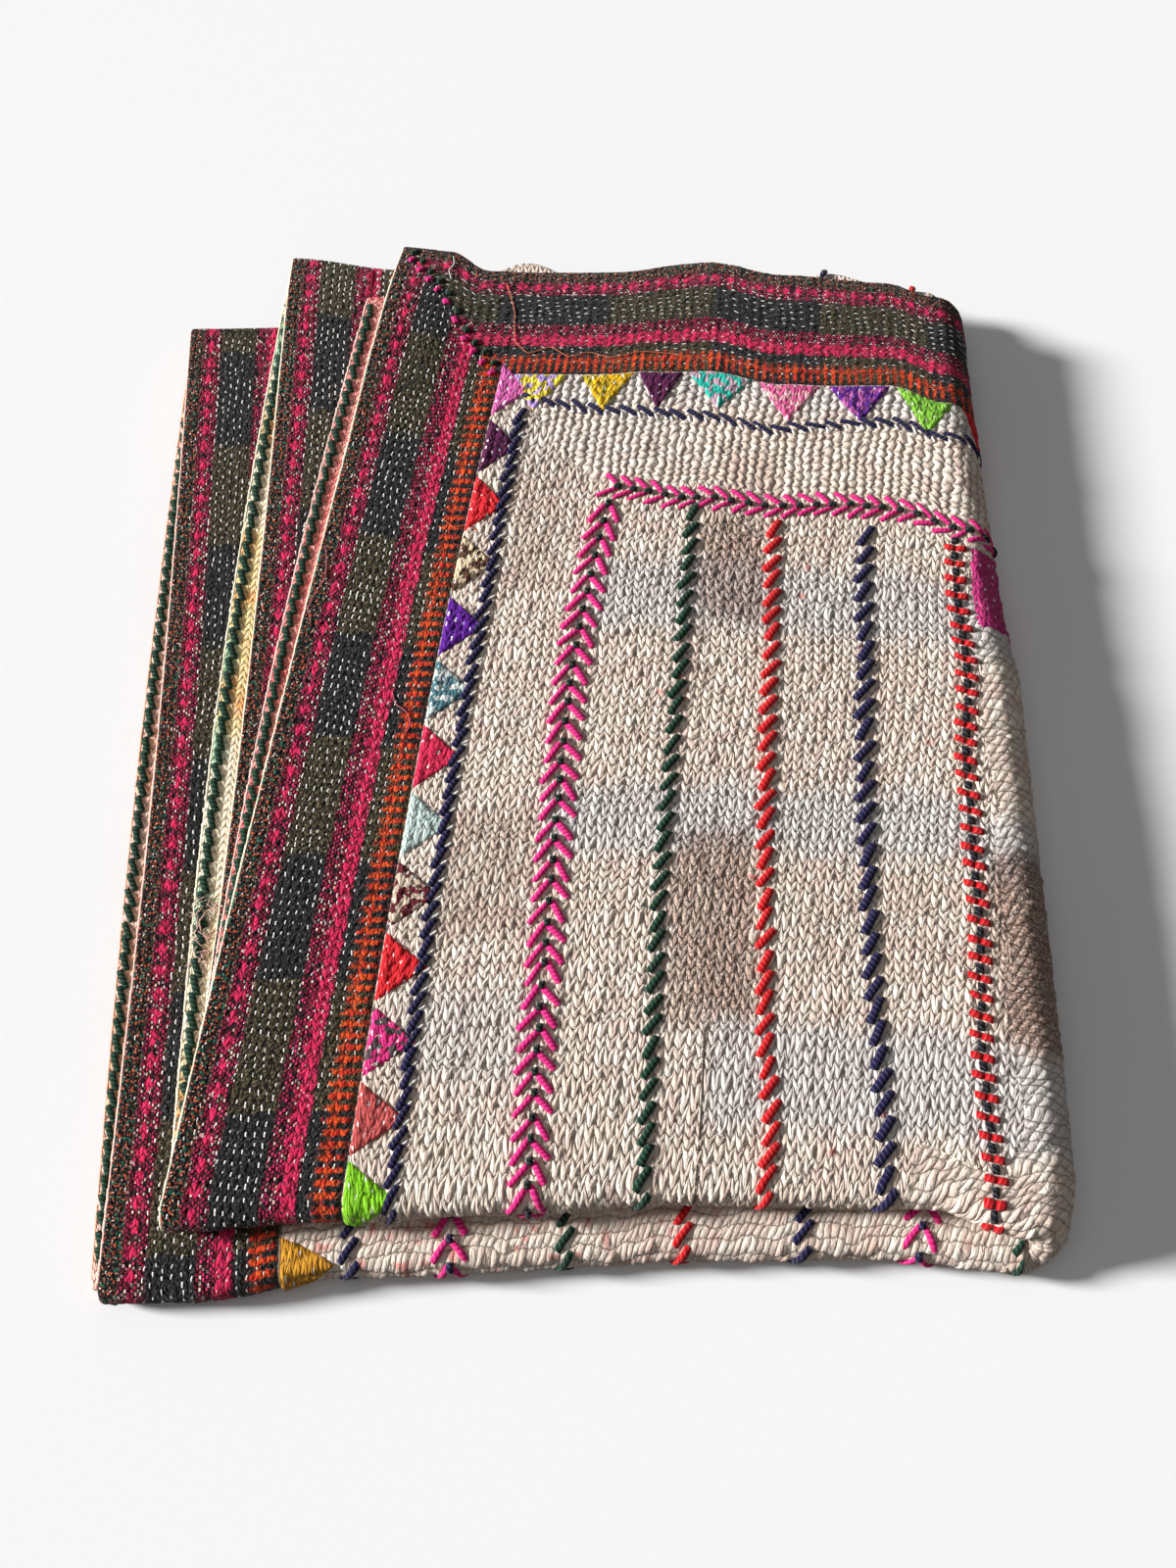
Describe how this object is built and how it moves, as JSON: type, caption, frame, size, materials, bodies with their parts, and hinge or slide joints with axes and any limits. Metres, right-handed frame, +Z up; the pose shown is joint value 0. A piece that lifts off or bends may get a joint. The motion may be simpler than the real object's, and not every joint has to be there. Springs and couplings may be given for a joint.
{
  "type": "kantha quilt",
  "caption": "Hand-quilted kantha bed cover with a plaid border, folded into a flat pile with its hems stepped at one side.",
  "frame": {"origin": "on the ground, under the middle of the folded pile's box", "axes": "+X towards the fold at the right, +Y towards the back of the pile where both short ends lie, +Z up"},
  "size_m": [0.5236, 0.6582, 0.0481],
  "materials": {
    "quilted_field": "washed cotton, closely hand quilted, matt",
    "plaid_border": "woven plaid cotton with pink and orange bands, hand quilted, matt"
  },
  "bodies": {
    "root": {"quilted_field": "quilted_field", "plaid_border": "plaid_border"}
  },
  "joints": []
}
